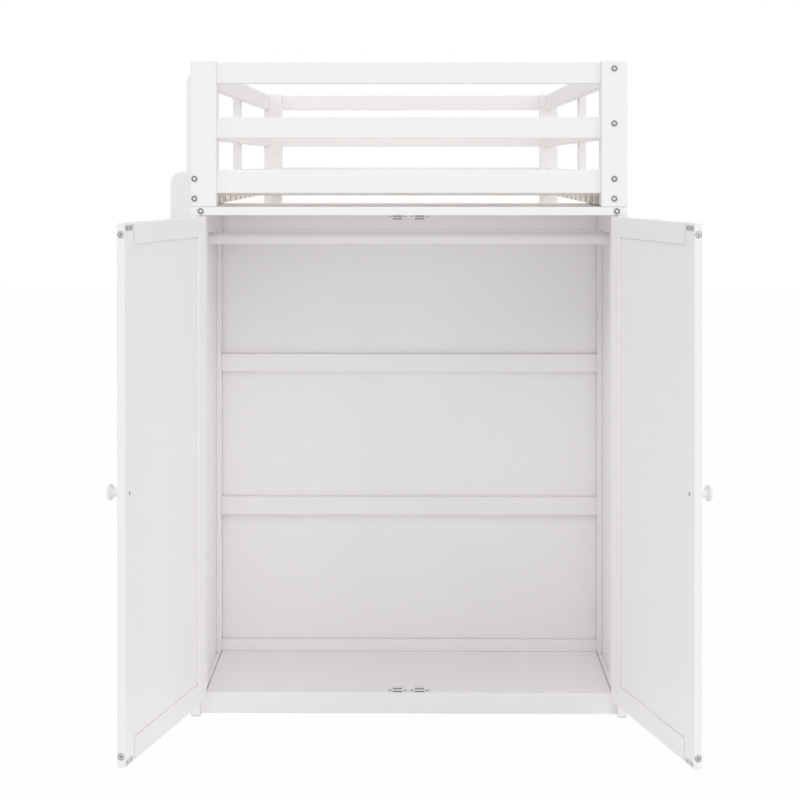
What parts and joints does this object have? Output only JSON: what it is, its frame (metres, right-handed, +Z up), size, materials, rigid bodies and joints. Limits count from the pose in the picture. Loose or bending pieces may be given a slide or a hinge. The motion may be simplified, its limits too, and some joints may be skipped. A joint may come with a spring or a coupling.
{
  "type": "loft bed",
  "caption": "White timber loft bed that stands on a wardrobe with hinged doors at the foot end, with a slatted base, guard rails, full-height head posts and a side ladder.",
  "frame": {"origin": "middle of the bounding box with the doors as they stand open, at floor level", "axes": "+Z up, the wardrobe doors face -Y, the bed runs towards +Y, +X is to the right of somebody facing the doors"},
  "size_m": [1.319, 2.6618, 1.605],
  "materials": {
    "painted_wood_white": "satin white furniture paint",
    "turned_wood_white": "satin white paint on turned wood",
    "raw_pine": "bare planed pine",
    "zinc_plated_steel": "zinc plated",
    "catch_plastic": "moulded, satin"
  },
  "bodies": {
    "root": {"front_left_post": "painted_wood_white", "front_right_post": "painted_wood_white", "rear_left_post": "painted_wood_white", "rear_right_post": "painted_wood_white", "front_top_rail": "painted_wood_white", "front_middle_rail": "painted_wood_white", "front_bottom_rail": "painted_wood_white", "rear_top_rail": "painted_wood_white", "rear_middle_rail": "painted_wood_white", "rear_bottom_rail": "painted_wood_white", "rear_braces": "painted_wood_white", "left_side_rail": "painted_wood_white", "right_side_rail": "painted_wood_white", "left_top_guard": "painted_wood_white", "left_middle_guard": "painted_wood_white", "right_top_guard": "painted_wood_white", "right_middle_guard": "painted_wood_white", "guard_uprights": "painted_wood_white", "slat_ledgers": "raw_pine", "slats": "raw_pine", "ladder_near_stile": "painted_wood_white", "ladder_far_stile": "painted_wood_white", "ladder_steps": "painted_wood_white", "front_left_leg": "painted_wood_white", "front_right_leg": "painted_wood_white", "rear_left_leg": "painted_wood_white", "rear_right_leg": "painted_wood_white", "wardrobe_side_rails": "painted_wood_white", "left_side_panel": "painted_wood_white", "right_side_panel": "painted_wood_white", "wardrobe_top": "painted_wood_white", "front_ledge": "painted_wood_white", "wardrobe_floor": "painted_wood_white", "front_fascia": "painted_wood_white", "back_battens": "painted_wood_white", "back_panel": "painted_wood_white", "hanging_rod": "turned_wood_white", "magnetic_catches": "catch_plastic", "catch_poles": "zinc_plated_steel", "frame_bolts": "zinc_plated_steel", "barrel_nuts": "zinc_plated_steel", "wood_screws": "zinc_plated_steel", "hinge_frame_leaves": "zinc_plated_steel", "hinge_pins": "zinc_plated_steel"},
    "left_door": {"left_door_hinge_stile": "painted_wood_white", "left_door_free_stile": "painted_wood_white", "left_door_rails": "painted_wood_white", "left_door_panel": "painted_wood_white", "left_door_knob": "turned_wood_white", "left_door_strike_plates": "zinc_plated_steel", "left_door_hinge_leaves": "zinc_plated_steel", "left_door_screws": "zinc_plated_steel"},
    "right_door": {"right_door_hinge_stile": "painted_wood_white", "right_door_free_stile": "painted_wood_white", "right_door_rails": "painted_wood_white", "right_door_panel": "painted_wood_white", "right_door_knob": "turned_wood_white", "right_door_strike_plates": "zinc_plated_steel", "right_door_hinge_leaves": "zinc_plated_steel", "right_door_screws": "zinc_plated_steel"}
  },
  "joints": [
    {"name": "left_door_hinge", "type": "hinge", "parent": "root", "child": "left_door", "pos_m": [-0.51306, -0.83184, 0.614], "axis": [0, 0, 1], "range_deg": [-61.4, 103.6]},
    {"name": "right_door_hinge", "type": "hinge", "parent": "root", "child": "right_door", "pos_m": [0.50744, -0.83184, 0.614], "axis": [0, 0, -1], "range_deg": [-60.7, 104.3]}
  ]
}
